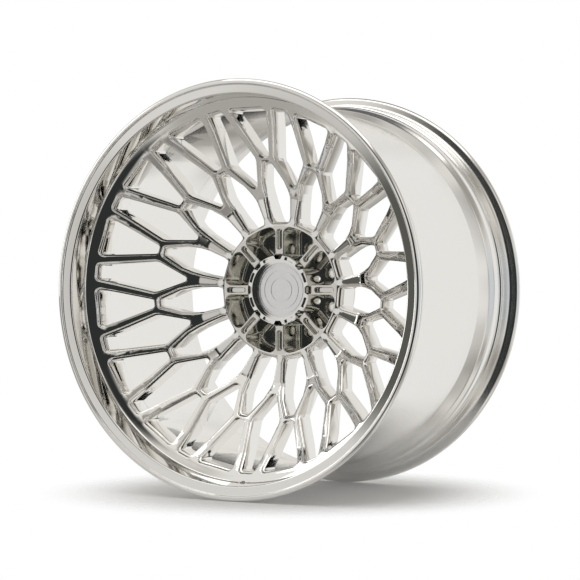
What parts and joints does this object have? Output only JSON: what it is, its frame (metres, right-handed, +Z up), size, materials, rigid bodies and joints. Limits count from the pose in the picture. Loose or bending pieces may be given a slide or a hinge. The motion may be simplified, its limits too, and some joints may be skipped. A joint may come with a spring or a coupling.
{
  "type": "forged racing wheel rim",
  "caption": "Deep-dish polished forged wheel rim with a forked mesh of spokes, a long barrel and a pull-off centre cap.",
  "frame": {"origin": "the wheel's centre, on its axis midway between the two flange faces", "axes": "+Y along the wheel axis towards the inboard side, +Z up with the valve hole at the bottom"},
  "size_m": [0.751, 0.432, 0.751],
  "materials": {
    "polished_rim": "mirror polished",
    "machined_cap": "fine machined, polished",
    "badge_plate": "satin brushed",
    "seal_rubber": "matt",
    "spring_wire": "drawn wire"
  },
  "bodies": {
    "rim": {"forged_rim": "polished_rim"},
    "cap": {"cap_body": "machined_cap", "cap_badge_plate": "badge_plate", "cap_o_ring": "seal_rubber", "cap_retaining_ring": "spring_wire"}
  },
  "joints": [
    {"name": "cap_pull", "type": "slide", "parent": "rim", "child": "cap", "axis": [0, -1, 0], "range_m": [0, 0.09]}
  ]
}
